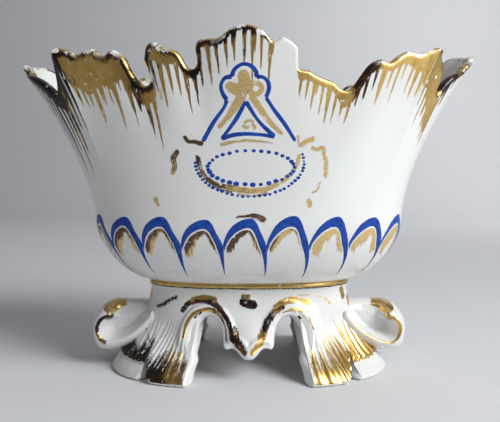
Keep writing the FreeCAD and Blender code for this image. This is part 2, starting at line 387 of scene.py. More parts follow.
def cobaltEnamel():
    # deep blue, paler where the brush carried less colour
    material, make, shader = newMaterial("cobaltEnamel")
    place = make.node("ShaderNodeTexCoord", {}, {}, "Object")
    pooled = make.noise(place, 800.0, 3.0, 0.65).rise(0.35, 0.7)
    setSockets(shader, {
        "Base Color": pooled.blend((0.016, 0.085, 0.42, 1.0), (0.009, 0.032, 0.24, 1.0)),
        "Roughness": 0.25 + 0.1 * pooled,
        "Specular IOR Level": 0.22,
    })
    return material


rimGilding = rimGlaze()
reliefGilding = paintedGilding("reliefGilding")
patchGilding = paintedGilding("patchGilding", patch=True)
enamel = cobaltEnamel()
print("finishes ready")

bowlLow, bowlHigh = boxOf("bowl")
bandLow, bandHigh = boxOf("waist_band")

bowlShape = {
    "foot": bowlLow[2],             # underside, on the gilt band
    "crest": bowlHigh[2],
    "belly": 48.0,                  # height of the fullest part
    "paintLine": 44.0,              # height of the line that painted places are measured along
    "tip": 100.0,                   # height at which the rim's half sizes are given
    "footHalf": (32.5, 16.0),
    "bellyHalf": (49.9, 28.5),
    "tipHalf": (74.4, 31.0),
    "leftLean": 2.6,                # how much further the wall leans out at the left tip
    "roundness": 1.7,
    "flare": 1.62,
    "squareBelly": 2.3,             # exponent of the plan, at the belly and at the rim
    "squareRim": 1.9,
    "wall": 3.0,
    "lipWall": 2.3,
    "lip": 1.0,                     # how far the rounded lip reaches past the walls
    "endLip": 0.9,                  # how much thicker the lip is at the two ends
    "rimSink": 0.25,                # the rim's knots are this far below the height they name
    "rimCalm": 0.4,                 # spread of the average that rounds the rim line
    "floor": 3.2,
    "corner": math.radians(39.5),   # angle from an end to the ridge below a corner of the rim
    "ridge": 2.1,
    "rows": (18, 46, 7, 20),        # below the belly, above it, round the lip and down the inside
    "columns": 960,
}

# front rim from the left end to the right: share of the half length, drop below the crest
frontRim = [
    (-1.060, 5.6), (-1.000, 7.6), (-0.968, 9.2), (-0.903, 11.5), (-0.870, 13.0), (-0.835, 15.0), (-0.806, 17.0),
    (-0.790, 17.0), (-0.784, 13.0), (-0.789, 4.6),
    (-0.775, 4.1), (-0.735, 4.6), (-0.694, 6.5), (-0.676, 6.4), (-0.650, 5.2), (-0.612, 5.1), (-0.595, 6.7),
    (-0.570, 7.6), (-0.548, 5.9), (-0.527, 5.6), (-0.485, 8.2), (-0.462, 11.8), (-0.437, 14.8), (-0.412, 16.1),
    (-0.392, 16.0), (-0.378, 14.6), (-0.376, 12.8), (-0.390, 11.4), (-0.407, 9.0), (-0.400, 6.0), (-0.389, 4.4),
    (-0.358, 4.1), (-0.325, 5.9), (-0.288, 6.3), (-0.262, 7.8), (-0.246, 10.0), (-0.236, 11.5), (-0.215, 12.0),
    (-0.197, 10.6), (-0.198, 8.6), (-0.205, 6.4), (-0.200, 4.2), (-0.178, 3.3), (-0.118, 3.6), (-0.090, 2.2),
    (-0.058, 0.4), (-0.020, -0.2), (0.020, 0.2), (0.050, 1.2), (0.080, 3.2), (0.094, 5.0), (0.104, 4.3),
    (0.128, 2.9), (0.160, 4.0), (0.189, 5.8), (0.190, 9.0), (0.189, 11.9), (0.236, 12.1), (0.252, 13.0),
    (0.288, 14.0), (0.338, 15.1), (0.356, 16.8), (0.380, 17.4), (0.408, 16.8), (0.428, 14.8), (0.446, 12.8),
    (0.468, 10.6), (0.490, 9.2), (0.518, 8.2), (0.540, 8.8), (0.556, 9.5), (0.572, 8.4), (0.600, 6.8),
    (0.634, 5.5), (0.662, 5.8), (0.690, 6.2), (0.716, 4.9), (0.755, 4.1), (0.784, 4.3), (0.783, 6.8),
    (0.800, 9.6), (0.794, 13.0), (0.774, 16.6), (0.784, 17.2), (0.825, 13.5), (0.860, 11.2), (0.918, 9.0),
    (0.952, 6.6), (0.985, 4.8), (1.060, 3.4),
]

# behind, the two end wings stand higher: share of the half length, drop below the crest
rearLeftEnd = [(-1.060, 5.6), (-1.000, 5.4), (-0.977, 4.9), (-0.955, 5.3), (-0.915, 6.8), (-0.870, 10.0),
               (-0.820, 16.0)]
rearRightEnd = [(0.800, 15.4), (0.840, 9.6), (0.880, 5.8), (0.913, 4.0), (0.940, 2.6), (0.965, 1.5),
                (0.985, 1.6), (1.000, 2.4), (1.060, 3.2)]


def bowlPlan(height):
    # below the belly a = foot + (belly - foot) (1 - share^p)^(1/p), above it a = belly + (tip - belly) share^f
    s = bowlShape
    under = np.clip((s["belly"] - height) / (s["belly"] - s["foot"]), 0.0, 1.0)
    over = np.clip((height - s["belly"]) / (s["tip"] - s["belly"]), 0.0, 1.2)
    swell = np.maximum(1.0 - under ** s["roundness"], 0.0) ** (1.0 / s["roundness"])
    right = (s["footHalf"][0] + (s["bellyHalf"][0] - s["footHalf"][0]) * swell
             + (s["tipHalf"][0] - s["bellyHalf"][0]) * over ** s["flare"])
    depth = (s["footHalf"][1] + (s["bellyHalf"][1] - s["footHalf"][1]) * swell
             + (s["tipHalf"][1] - s["bellyHalf"][1]) * over ** 2)
    squareness = s["squareBelly"] + (s["squareRim"] - s["squareBelly"]) * over ** 2
    return right, right + s["leftLean"] * over, depth, squareness


def planPoint(angle, right, left, depth, n):
    # point of |x/a|^n + |y/b|^n = 1 in the direction of an angle of the stretched plan, and its outward normal
    c, w = np.cos(angle), np.sin(angle)
    a = np.where(c > 0, right, left)
    k = (np.abs(c) ** n + np.abs(w) ** n) ** (-1.0 / n)
    nx = np.sign(c) * np.abs(c * k) ** (n - 1.0) / a
    ny = np.sign(w) * np.abs(w * k) ** (n - 1.0) / depth
    size = np.maximum(np.hypot(nx, ny), 1e-9)
    return a * c * k, depth * w * k, nx / size, ny / size


# soft folds of the wall near the rim: degrees from the left end along either side, depth, width
bowlFolds = [(63.0, -1.0, 4.5), (70.0, 0.5, 4.0), (77.5, -0.7, 3.5), (90.0, 0.5, 7.0), (112.0, -1.0, 6.0)]


def bowlPoint(angle, height, inset=0.0, lift=0.0):
    # superellipse plan at that height, moved outward by the four corner ridges and the soft folds of the rim
    s = bowlShape
    right, left, depth, n = bowlPlan(height)
    x, y, nx, ny = planPoint(angle, right - inset, left - inset, depth - inset, n)
    fromCorner = np.arctan2(np.abs(np.sin(angle)), np.abs(np.cos(angle))) - s["corner"]
    push = s["ridge"] * rise(height, 54.0, 100.0) * (
        np.exp(-np.abs(fromCorner) / 0.085) - 0.35 * bell(fromCorner, 0.0, 0.22))
    turn = np.degrees(np.arccos(np.clip(-np.cos(angle), -1.0, 1.0)))
    for place, out, width in bowlFolds:
        push = push + out * bell(turn, place, width) * rise(height, 66.0, 98.0)
    push = push + lift
    return np.stack([x + push * nx, y + push * ny, height + 0.0 * x], -1)


def frontAngle(x, height):
    # the angle at which the front wall passes x at that height, clipped at the two ends
    right, left, depth, n = bowlPlan(height)
    share = np.clip(x / np.where(x > 0, right, left), -1.0, 1.0)
    return -np.arctan2(np.maximum(1.0 - np.abs(share) ** n, 0.0) ** (1.0 / n), share)


def rimLine(shares):
    # angle and height of a polyline of (share of the half length, drop), without what runs past the two ends
    s, knots = bowlShape, np.array(shares)
    knots = np.stack([knots[:, 0] * s["tipHalf"][0], s["crest"] - s["rimSink"] - knots[:, 1]], 1)
    fine = evenly(knots, 2400)
    angle = frontAngle(fine[:, 0], fine[:, 1])
    inside = (angle > -math.pi + 1e-6) & (angle < -1e-6)
    return angle[inside], fine[inside, 1]


def rimLoop(count):
    # the front line, then the rear one turned back, both rounded by a moving average along the rim
    angle, height = rimLine(frontRim)
    middle = [knot for knot in frontRim if -0.80 < knot[0] < 0.79]
    rearAngle, rearHeight = rimLine(rearLeftEnd + middle + rearRightEnd)
    loop = np.stack([np.concatenate([angle, -rearAngle[::-1]]), np.concatenate([height, rearHeight[::-1]])], 1)
    return calmedLoop(bowlPoint, loop, 6000, (bowlShape["rimCalm"],) * 2, count)


def surfaceScale(point, angle, height):
    # length of one radian and of one millimetre of height on a surface point(angle, height)
    e = 1e-4
    perAngle = np.linalg.norm(point(angle + e, height) - point(angle - e, height), axis=-1) / (2 * e)
    perHeight = np.linalg.norm(point(angle, height + 0.01) - point(angle, height - 0.01), axis=-1) / 0.02
    return perAngle, perHeight


def steppedIn(point, angle, height, reach, calming):
    # moves a loop across its surface by reach, to the right of its own direction, and calms the result
    perAngle, perHeight = surfaceScale(point, angle, height)
    alongX = loopSlope(angle, 2 * math.pi) * perAngle
    alongZ = loopSlope(height) * perHeight
    size = np.hypot(alongX, alongZ)
    ramp = roundTurns(len(angle))
    newAngle = angle + alongZ / size * reach / perAngle
    newHeight = height - alongX / size * reach / perHeight
    return softened(newAngle - ramp, calming) + ramp, softened(newHeight, calming)


def roundedLip(outerEdge, innerEdge, crown, reach, count):
    # half an ellipse from the outer edge to the inner one, standing out by reach towards the crown
    middle, half = (outerEdge + innerEdge) / 2.0, (outerEdge - innerEdge) / 2.0
    out = unit(crown - middle) * np.reshape(reach, (-1, 1))
    swing = np.linspace(0.0, math.pi, count + 2)[1:-1, None, None]
    return middle + half * np.cos(swing) + out * np.sin(swing)


bellyAngles = np.linspace(-math.pi, math.pi, 4001)
bellyLine = bowlPoint(bellyAngles, np.full_like(bellyAngles, bowlShape["paintLine"]))
bellyLength = np.concatenate([[0.0], np.cumsum(np.linalg.norm(np.diff(bellyLine, axis=0), axis=1))])
bellyLength -= np.interp(-math.pi / 2, bellyAngles, bellyLength)
bellyRound = bellyLength[-1] - bellyLength[0]


def bellyPlace(angle):
    # millimetres along the belly from the middle of the front
    turned = (angle + math.pi) % (2 * math.pi) - math.pi
    return np.interp(turned, bellyAngles, bellyLength)


def bellyAngle(place):
    wrapped = (place - bellyLength[0]) % bellyRound + bellyLength[0]
    return np.interp(wrapped, bellyLength, bellyAngles)


# gilding along the rim: share of the half length, stroke length, solid band, tarnish and painted shade; the
# near-black gold at the left end is painted shade and dark reflection
rimGildingTable = np.array([
    (-1.10, 1.0, 0.2, 0.60), (-0.98, 3.0, 0.5, 0.60), (-0.94, 9.0, 1.6, 0.62), (-0.88, 20.0, 2.2, 0.98),
    (-0.80, 27.0, 3.4, 0.98), (-0.781, 26.0, 4.0, 0.98), (-0.768, 27.0, 10.5, 0.35), (-0.68, 25.0, 11.0, 0.24),
    (-0.56, 21.0, 8.5, 0.32), (-0.44, 15.0, 5.5, 0.58), (-0.38, 20.0, 4.2, 0.42), (-0.34, 19.0, 4.4, 0.26),
    (-0.26, 13.0, 2.6, 0.32), (-0.21, 10.0, 1.6, 0.60), (-0.16, 15.0, 1.5, 0.42), (-0.06, 14.0, 0.9, 0.50),
    (0.04, 17.0, 0.8, 0.35), (0.085, 12.0, 0.5, 0.35), (0.10, 0.0, 0.0, 0.30), (0.185, 0.0, 0.0, 0.30),
    (0.192, 6.0, 2.2, 0.15), (0.26, 11.0, 1.6, 0.15), (0.34, 13.0, 1.8, 0.15), (0.38, 10.0, 4.5, 0.15),
    (0.43, 8.0, 2.6, 0.80), (0.49, 9.0, 2.0, 0.80), (0.54, 13.0, 1.6, 0.25), (0.64, 14.0, 2.8, 0.12),
    (0.71, 17.0, 5.0, 0.10), (0.75, 21.0, 10.0, 0.08), (0.79, 22.0, 11.0, 0.08), (0.81, 12.0, 2.6, 0.70),
    (0.86, 5.0, 0.9, 0.90), (0.90, 1.0, 0.2, 0.50), (1.10, 0.0, 0.0, 0.30),
])


def makeBowl():
    # Rows run from the middle of the underside up the outside, over the lip, down the inside and across
    # the floor. A column's angle blends from an even spread at the belly to the rim's own.
    s = bowlShape
    count = s["columns"]
    rimAngle, rimHeight = rimLoop(count)
    edgeAngle, edgeHeight = steppedIn(bowlPoint, rimAngle, rimHeight, s["lip"], 0.8)
    ramp = roundTurns(count)
    calm = softened(edgeAngle - ramp, 20.0) + ramp

    lowRows, highRows, lipRows, innerRows = s["rows"]
    swing = np.linspace(0.0, math.pi / 2, lowRows)[:, None]
    low = s["foot"] + (s["belly"] - s["foot"]) * (1.0 - np.cos(swing) ** (2.0 / s["roundness"]))
    share = np.linspace(0.0, 1.0, highRows)[1:, None]
    height = np.concatenate([low + 0.0 * ramp, s["belly"] + (edgeHeight - s["belly"]) * share])
    blend = np.concatenate([low * 0.0, rise(share, 0.3, 1.0)])
    angle = calm + (edgeAngle - calm) * blend
    outer = bowlPoint(angle, height)
    below = np.maximum(edgeHeight - height, 0.0)

    floor = s["foot"] + s["floor"]
    share = np.linspace(1.0, 0.0, innerRows)[:, None] ** 1.25
    innerHeight = floor + (edgeHeight - floor) * share
    innerAngle = calm + (edgeAngle - calm) * rise(share, 0.3, 1.0)
    lipWall = s["lipWall"] + s["endLip"] * rise(np.abs(np.cos(edgeAngle)), 0.80, 0.95)
    inner = bowlPoint(innerAngle, innerHeight, s["wall"] + (lipWall - s["wall"]) * rise(share, 0.6, 1.0))
    crown = bowlPoint(rimAngle, rimHeight, lipWall / 2)
    lip = roundedLip(outer[-1], inner[0], crown, np.full(count, s["lip"]), lipRows)
    shrink = np.array([0.04, 0.5, 0.9])[:, None, None] * (1, 1, 0) + (0, 0, 1)
    rows = np.concatenate([outer[0] * shrink, outer, lip, inner, inner[-1] * shrink[::-1]])

    def allRows(outside, atLip, within, centre):
        # one value per row and column: underside and floor take centre, the lip atLip
        blocks = [np.full((3, count), centre), outside, np.broadcast_to(atLip, (len(lip), count)), within,
                  np.full((3, count), centre)]
        return np.concatenate(blocks)

    # the gilding follows its table; behind, it also covers the stretch that is chipped in front
    x = bowlPoint(edgeAngle, edgeHeight)[:, 0] / s["tipHalf"][0]
    reach, solid, tarnish = (np.interp(x, rimGildingTable[:, 0], rimGildingTable[:, k]) for k in (1, 2, 3))
    unchipped = (np.sin(edgeAngle) > 0) & (np.abs(x - 0.14) < 0.06)
    reach, solid = np.where(unchipped, 9.0, reach), np.where(unchipped, 1.0, solid)
    deep = np.linalg.norm(inner - inner[0], axis=-1)
    high = np.clip((rimHeight - softened(rimHeight, 30.0) - 0.8) / 1.5, 0.0, 1.0)      # 1 on the lobes
    fields = {
        "drop": allRows(below, 0.0, deep * 2.0 + 0.2, 90.0),
        "reach": allRows(reach * np.ones_like(below), reach, 0.0 * deep + 0.6, 0.0),
        "solid": allRows(solid * np.ones_like(below), solid, 0.0 * deep + 0.6, 0.0),
        # painted dark reflection: the gold is darker along the rim edge left of the middle
        "tarnish": allRows(tarnish + 0.55 * bell(below, 0.0, 1.3) * (x < 0.08), tarnish, 0.0 * deep + tarnish, 0.0),
        "rub": high * np.ones((len(rows), 1)),
    }
    allAngle = np.concatenate([calm * np.ones((3, 1)), angle, edgeAngle * np.ones((len(lip), 1)), innerAngle,
                               calm * np.ones((3, 1))])
    uv = np.stack([bellyPlace(allAngle), allRows(height, edgeHeight, innerHeight, 0.0)], -1) * uvScale
    points = np.concatenate([rows.reshape(-1, 3), [rows[0].mean(0), rows[-1].mean(0)]])
    newPiece("bowl", points, tubeFaces(len(rows), count), rimGilding, "glazed_porcelain", ["bowl"],
             withPoles(uv, 2), {label: withPoles(values) for label, values in fields.items()})


makeBowl()
print("bowl made")

bandLook = {"out": 0.62, "within": 1.2, "columns": 420, "section": 18, "waver": (0.05, 0.04)}


def makeBand():
    # bead: the waist's plan moved out by a flattened half circle of angle f, with a slow hand-made waver
    look, s = bandLook, bowlShape
    turn = roundTurns(look["columns"])
    f = np.linspace(-math.pi / 2, math.pi / 2, look["section"])[:, None]
    waver = look["waver"][0] * np.sin(5 * turn + 1.0) + look["waver"][1] * np.sin(11 * turn)
    middle, half = (bandLow[2] + bandHigh[2]) / 2, (bandHigh[2] - bandLow[2]) / 2
    out = (look["out"] + waver) * np.cos(f) ** 0.7
    x, y, nx, ny = planPoint(turn, s["footHalf"][0], s["footHalf"][0], s["footHalf"][1], s["squareBelly"])
    height = middle + half * np.sin(f) + 0.0 * turn
    front = np.stack([x + out * nx, y + out * ny, height], -1)
    back = np.stack([x - look["within"] * nx, y - look["within"] * ny, height[-1]], -1)
    under = back * (1, 1, 0) + (0, 0, bandLow[2])
    points = np.concatenate([front, [back, under]])
    shape = points.shape[:2]
    place = bellyPlace(turn) * np.ones((shape[0], 1))
    inside = np.concatenate([(height - bandLow[2]) * 1.1 - 0.25, np.ones((2, look["columns"]))])
    # painted shade: the bead's gold darkens towards its underside, which turns down away from the light
    tarnish = 0.95 - 0.85 * rise(inside, 0.1, 0.9)
    newPiece("waistBand", points.reshape(-1, 3), [gridFaces(*shape, closedRows=True, closedColumns=True)],
             reliefGilding, "gilding", ["waist_band"], np.stack([points[..., 2], place], -1) * uvScale,
             {"inside": inside, "ragged": np.full(shape, 0.5), "tarnish": tarnish})


makeBand()
print("band made")

arcade = {
    "count": 20,
    "start": -7.5,      # a meeting point of two arches, along the belly from the middle of the front
    "lift": 0.10,
    "springing": 41.9,  # height from which an arch grows taller or shorter
    # edges of one blue arch, from its left foot over the apex and down the tail: share of a pitch, height
    "outer": [(0.0, 41.9), (0.07, 44.4), (0.20, 47.0), (0.37, 48.7), (0.54, 49.6), (0.69, 49.6), (0.79, 48.2),
              (0.86, 46.0), (0.94, 43.8), (1.0, 41.5), (1.016, 38.5), (1.018, 35.0), (1.008, 31.9)],
    "inner": [(0.03, 39.8), (0.065, 41.4), (0.135, 43.1), (0.27, 45.1), (0.45, 46.5), (0.60, 46.7), (0.69, 45.8),
              (0.765, 43.8), (0.835, 41.4), (0.895, 39.2), (0.94, 36.8), (0.975, 34.0), (0.995, 31.8)],
    "crescent": 8.6,    # longest stroke of gold inside an arch
    "fan": 0.27,        # lean of the lines below the springing, per millimetre of height
    "steps": 64,        # points along one edge, and rows and columns of the gold
    "goldGrid": (26, 72),
}
arcade["pitch"] = bellyRound / arcade["count"]


def fanned(place, height):
    # lower down, the painted lines lean away from the middle of the front and rear: K (h0 - h) sin(4 pi p / round)
    low = np.clip(arcade["springing"] - height, 0.0, 12.0)
    return place + arcade["fan"] * low * np.sin(4.0 * math.pi * place / bellyRound)


def archEdge(knots, start, tall, lean):
    # edge of a blue arch whose left foot is at start, bent by lean sin(pi share)
    a = arcade
    knots = curveThrough(knots, a["steps"])
    share = knots[:, 0] + lean * np.sin(math.pi * np.clip(knots[:, 0], 0, 1))
    high = a["springing"] + (knots[:, 1] - a["springing"]) * tall
    return np.stack([fanned(start + share * a["pitch"], high), high], 1)


def patchFields(blocks):
    # the three attributes that painted gilding reads, from blocks of (inside, ragged, tarnish with painted shade)
    return dict(zip(("inside", "ragged", "tarnish"), np.concatenate(blocks).T))


def laidSheet(first, second, lift, rows, dome=True):
    # sheet between two paths of (place, height) on the bowl, domed by (1 - t^2)^(1/2) with its edges sunk in
    t = np.linspace(-1.0, 1.0, rows)[:, None]
    place = (first[:, 0] + second[:, 0]) / 2 + (second[:, 0] - first[:, 0]) / 2 * t
    height = (first[:, 1] + second[:, 1]) / 2 + (second[:, 1] - first[:, 1]) / 2 * t
    rising = lift * np.sqrt(1.0 - t ** 2) - 0.02 * (np.abs(t) > 0.99) if dome else lift + 0.0 * t
    return bowlPoint(bellyAngle(place), height, 0.0, rising + 0.0 * place), place, height


def makeArches():
    a = arcade
    pitch, springing = a["pitch"], a["springing"]
    blue, gold, brush, fields = [], [], [], []
    for number in range(a["count"]):
        start = a["start"] + (number - a["count"] / 2) * pitch
        jitter = chance.normal(0.0, 1.0, 6)
        tall, lean = 1.0 + 0.035 * jitter[0], 0.012 * jitter[1]
        outer, inner = (archEdge(a[edge], start, tall, lean) for edge in ("outer", "inner"))
        swell = 0.06 * np.sin(np.linspace(0, 3 * math.pi, a["steps"]) + jitter[2])[:, None]
        blue.append(laidSheet(outer + (outer - inner) * swell, inner, a["lift"], 9)[0])

        # crescent of worn gold inside the arch, its strokes running down from the arch's inner edge
        edge = curveThrough(a["inner"][1:10], a["goldGrid"][1])
        share = (edge[:, 0] - edge[0, 0]) / (edge[-1, 0] - edge[0, 0])
        depth = np.linspace(0.0, a["crescent"], a["goldGrid"][0])[:, None]
        height = springing + (edge[:, 1] - springing) * tall - 0.45 - depth
        inward = (0.62 - share * 1.2) * (0.35 + depth * 0.20)
        place = fanned(start + edge[:, 0] * pitch + inward, height)
        right = rise(start, -5.0, 25.0)
        full = 0.45 + 0.55 * rise(np.abs(start + pitch / 2), 18.0, 34.0)
        # a full left part, a shorter one under the apex and a long one down the right side
        reach = ((4.6 + 0.9 * jitter[3] + 1.6 * full) * bell(share, 0.16, 0.20)
                 + (1.2 + 2.2 * full + 1.2 * right) * bell(share, 0.48, 0.17)
                 + (1.0 + 4.0 * full + 1.4 * right + 0.5 * jitter[4]) * bell(share, 0.82, 0.12) - 0.2)
        gold.append(bowlPoint(bellyAngle(place), height, 0.0, 0.045 + 0.0 * place))
        brush.append((np.stack([place, height], -1) * uvScale).reshape(-1, 2))
        # painted shade: the gold of arches towards the left, away from the light, is made darker, along with real
        # tarnish
        tarnish = 1.08 - 0.80 * right - 0.17 * depth - 0.35 * share + 0.08 * jitter[5]
        inside = np.minimum((reach - depth) * 0.42, depth + 0.1)
        fields.append(np.stack([inside, 0.5 + depth * 0.22 + 0.0 * share, tarnish], -1).reshape(-1, 3))
    newPiece("blueArches", *joinGrids(blue), enamel, "cobalt_enamel")
    newPiece("archGilding", *joinGrids(gold), patchGilding, "gilding", (), np.concatenate(brush), patchFields(fields))


makeArches()
print("arches made")

# front emblem: x and height on the front wall
emblem = {
    "line": 0.60,       # half width of a blue line
    "lineLift": 0.09,
    "dotLift": 0.10,
    "scatter": 0.07,    # how far a dot strays from its place
    "outline": [[(-13.0, 71.4), (-10.1, 76.5), (-7.0, 80.8), (-6.1, 83.0)],
                [(-6.1, 83.0), (-7.3, 85.0), (-7.7, 87.2), (-6.6, 89.0), (-4.7, 89.4)],
                [(-4.7, 89.4), (-4.0, 91.2), (-2.6, 92.4), (-1.0, 92.8), (0.8, 92.2), (2.0, 90.8), (2.3, 89.2)],
                [(2.3, 89.2), (3.8, 89.3), (5.3, 88.2), (5.7, 86.2), (4.9, 83.7)],
                [(4.9, 83.7), (7.2, 80.3), (10.1, 76.5), (13.3, 71.6)]],
    "triangle": [[(-0.8, 82.6), (-3.6, 77.6), (-7.6, 72.2)], [(-7.6, 72.2), (-4.6, 73.2), (-0.8, 73.6), (4.0, 73.3),
                                                              (7.4, 72.8)],
                 [(7.4, 72.8), (3.0, 77.0), (-0.8, 82.6)]],
    "dotRing": {"centre": (0.7, 64.1), "half": (12.3, 4.85), "count": 33, "size": 0.64},
    "dotBow": {"centre": (0.3, 65.6), "half": (15.5, 9.7), "from": 181.0, "to": 374.0, "count": 34, "size": 0.48},
}


def onFront(path):
    # from x and height on the front wall to place along the belly and height
    path = np.asarray(path, float)
    return np.stack([bellyPlace(frontAngle(path[:, 0], path[:, 1])), path[:, 1]], 1)


def strokeEdges(path, half):
    # the two sides of a brush stroke: the path moved by half to either side, across its own direction
    across = unit(np.gradient(path, axis=0))[:, ::-1] * (1, -1)
    half = np.reshape(half, (-1, 1))
    return path + across * half, path - across * half


def makeEmblem():
    # lines are domed sheets, wavering in width; dots are low domes of height (1 - r^2)^(1/2)
    e, sheets = emblem, []
    t = np.linspace(0.0, 1.0, 60)
    for order, knots in enumerate(e["outline"] + e["triangle"]):
        half = e["line"] * (1.0 + 0.12 * np.sin(7 * t + order) + 0.16 * (2 * t - 1) ** 8)
        half = half * np.sqrt(np.clip(1.0 - (2 * t - 1) ** 40, 0.02, 1.0))
        first, second = strokeEdges(curveThrough(knots, len(t)), half)
        sheets.append(laidSheet(onFront(first), onFront(second), e["lineLift"], 9)[0])
    out = np.linspace(0.0, 1.0, 5)[:, None]
    swing = np.linspace(0.0, 2 * math.pi, 21)
    lift = e["dotLift"] * np.sqrt(1.0 - out ** 2) - 0.02 + 0.0 * swing
    for ring in (e["dotRing"], e["dotBow"]):
        turns = np.radians(np.linspace(ring.get("from", 0.0), ring.get("to", 360.0), ring["count"],
                                       endpoint="from" in ring))
        for turn in turns:
            jitter = chance.normal(0.0, 1.0, 3)
            x = ring["centre"][0] + ring["half"][0] * math.cos(turn) + e["scatter"] * jitter[0]
            z = ring["centre"][1] + ring["half"][1] * math.sin(turn) + e["scatter"] * jitter[1]
            size = ring["size"] * (1.0 + 0.12 * jitter[2] - 0.10 * math.sin(turn))
            flat = np.stack([x + size * 1.12 * out * np.cos(swing), z + size * 0.92 * out * np.sin(swing)], -1)
            spot = onFront(flat.reshape(-1, 2)).reshape(flat.shape)
            sheets.append(bowlPoint(bellyAngle(spot[..., 0]), spot[..., 1], 0.0, lift))
    newPiece("blueEmblem", *joinGrids(sheets), enamel, "cobalt_enamel")


makeEmblem()

# gilding of the emblem: path of x and height, half widths at its ends, fraying, tarnish and painted shade at its
# ends, the strokes on the left made darker as painted shade
emblemStrokes = [
    ([(-1.4, 89.6), (-1.2, 88.8), (-1.0, 87.4)], (1.7, 1.9), 0.30, (0.20, 0.25)),
    ([(-5.0, 86.6), (-3.2, 86.0), (-0.4, 86.8)], (1.5, 1.9), 0.30, (0.22, 0.25)),
    ([(0.2, 87.2), (1.4, 87.7), (2.8, 87.4), (3.7, 86.4), (3.0, 85.0), (1.6, 84.6), (0.6, 84.9)],
     (0.80, 0.80), 0.28, (0.2, 0.2)),
    ([(-1.2, 86.0), (-3.0, 82.4), (-5.2, 79.2), (-8.2, 75.6)], (1.45, 0.7), 0.50, (0.15, 0.25)),
    ([(1.2, 83.6), (3.6, 80.2), (6.2, 76.8), (9.2, 73.8)], (1.10, 0.60), 0.45, (0.10, 0.18)),
    ([(-0.9, 76.9), (0.2, 77.3), (1.2, 77.0)], (0.50, 0.45), 0.25, (0.2, 0.2)),
    ([(-1.3, 75.7), (-0.7, 75.3), (-0.2, 75.5)], (0.55, 0.50), 0.25, (0.2, 0.2)),
    ([(1.3, 76.0), (1.8, 75.6), (1.6, 75.2)], (0.55, 0.45), 0.25, (0.2, 0.2)),
    ([(-7.6, 70.6), (-4.0, 71.3), (0.0, 71.7), (6.6, 71.0)], (0.60, 0.30), 0.75, (0.50, 0.30)),
    ([(-14.4, 67.0), (-13.7, 63.8), (-11.8, 61.0), (-8.6, 59.2), (-4.0, 58.2)], (0.75, 0.80), 0.60, (0.80, 0.55)),
    ([(-12.6, 61.0), (-9.4, 58.6), (-5.0, 57.2)], (0.30, 0.35), 0.60, (0.70, 0.55)),
    ([(-6.0, 58.6), (-0.8, 57.6), (3.0, 57.6), (6.4, 58.6), (10.2, 60.6), (13.2, 63.8), (14.5, 67.4)], (0.90, 0.60),
     0.55, (0.45, 0.10)),
    ([(-3.0, 56.6), (1.0, 56.1), (5.0, 56.8)], (0.30, 0.35), 0.60, (0.40, 0.30)),
    ([(-18.0, 72.6), (-17.0, 71.6), (-15.6, 71.6), (-13.4, 71.0)], (0.85, 0.95), 1.00, (0.90, 0.75)),
    ([(-20.6, 68.4), (-21.6, 66.8), (-21.2, 64.6), (-21.8, 62.6)], (1.15, 0.70), 1.05, (0.72, 0.60)),
    ([(-3.4, 50.0), (-0.6, 50.2), (1.6, 50.3), (4.2, 49.4)], (0.50, 1.05), 0.90, (0.85, 0.70)),
    ([(14.8, 70.4), (16.4, 71.6), (18.2, 72.2)], (0.75, 0.85), 0.75, (0.20, 0.20)),
    ([(18.2, 69.6), (19.8, 69.2), (21.2, 69.6), (21.5, 67.8)], (0.65, 0.75), 0.85, (0.25, 0.25)),
    ([(21.9, 66.8), (22.3, 65.0), (22.0, 61.6)], (1.00, 0.80), 1.00, (0.25, 0.25)),
    ([(17.2, 54.6), (17.6, 54.0), (17.5, 53.2)], (0.75, 0.75), 0.40, (0.20, 0.25)),
    ([(18.4, 57.0), (19.6, 57.8), (20.6, 60.0)], (0.35, 0.30), 0.60, (0.25, 0.25)),
    ([(14.0, 73.0), (14.4, 70.8)], (0.40, 0.30), 0.50, (0.20, 0.20)),
    ([(-27.0, 55.0), (-26.0, 53.4)], (0.90, 0.60), 1.00, (0.45, 0.45)),
    ([(-25.0, 86.0), (-24.6, 83.6)], (0.30, 0.25), 0.60, (0.45, 0.45)),
]


def makeEmblemGilding():
    # Each stroke is a sheet wider than its paint. inside is the stroke's half width less the distance from its
    # path, and past an end less that from the end point. Later strokes lie a little higher.
    sheets, brush, fields = [], [], []
    rows = 15
    steps = np.linspace(0.2, 1.0, 5)
    for order, (knots, widths, fray, tarnish) in enumerate(emblemStrokes):
        margin = 0.35 + 0.6 * fray
        path = curveThrough(knots, 20 * len(knots))
        along = np.concatenate([[0.0], np.cumsum(np.linalg.norm(np.diff(path, axis=0), axis=1))])
        start, finish = (widths[0] + margin) * steps[::-1], (widths[1] + margin) * steps
        ahead = unit(path[:1] - path[1:2]) * start[:, None]
        after = unit(path[-1:] - path[-2:-1]) * finish[:, None]
        path = np.concatenate([path[:1] + ahead, path, path[-1:] + after])
        beyond = np.concatenate([start, np.zeros(len(along)), finish])
        t = np.concatenate([np.zeros(5), along / along[-1], np.ones(5)])
        half = widths[0] + (widths[1] - widths[0]) * t
        first, second = strokeEdges(path, half + margin)
        sheet = laidSheet(onFront(first), onFront(second), 0.03 + 0.0006 * order, rows, dome=False)[0]
        off = np.linspace(-1.0, 1.0, rows)[:, None] * (half + margin)
        inside = np.where(beyond > 0, half - np.hypot(off, beyond), half - np.abs(off))
        sheets.append(sheet)
        whole = np.concatenate([-start, along, along[-1] + finish])
        brush.append(np.stack([off + 7.0 * order, whole + 0.0 * off], -1).reshape(-1, 2) * uvScale)
        dark = tarnish[0] + (tarnish[1] - tarnish[0]) * t
        fields.append(np.stack([inside, fray + 0.0 * inside, dark + 0.0 * inside], -1).reshape(-1, 3))
    newPiece("emblemGilding", *joinGrids(sheets), patchGilding, "gilding", (), np.concatenate(brush),
             patchFields(fields))


makeEmblemGilding()
print("emblem made")

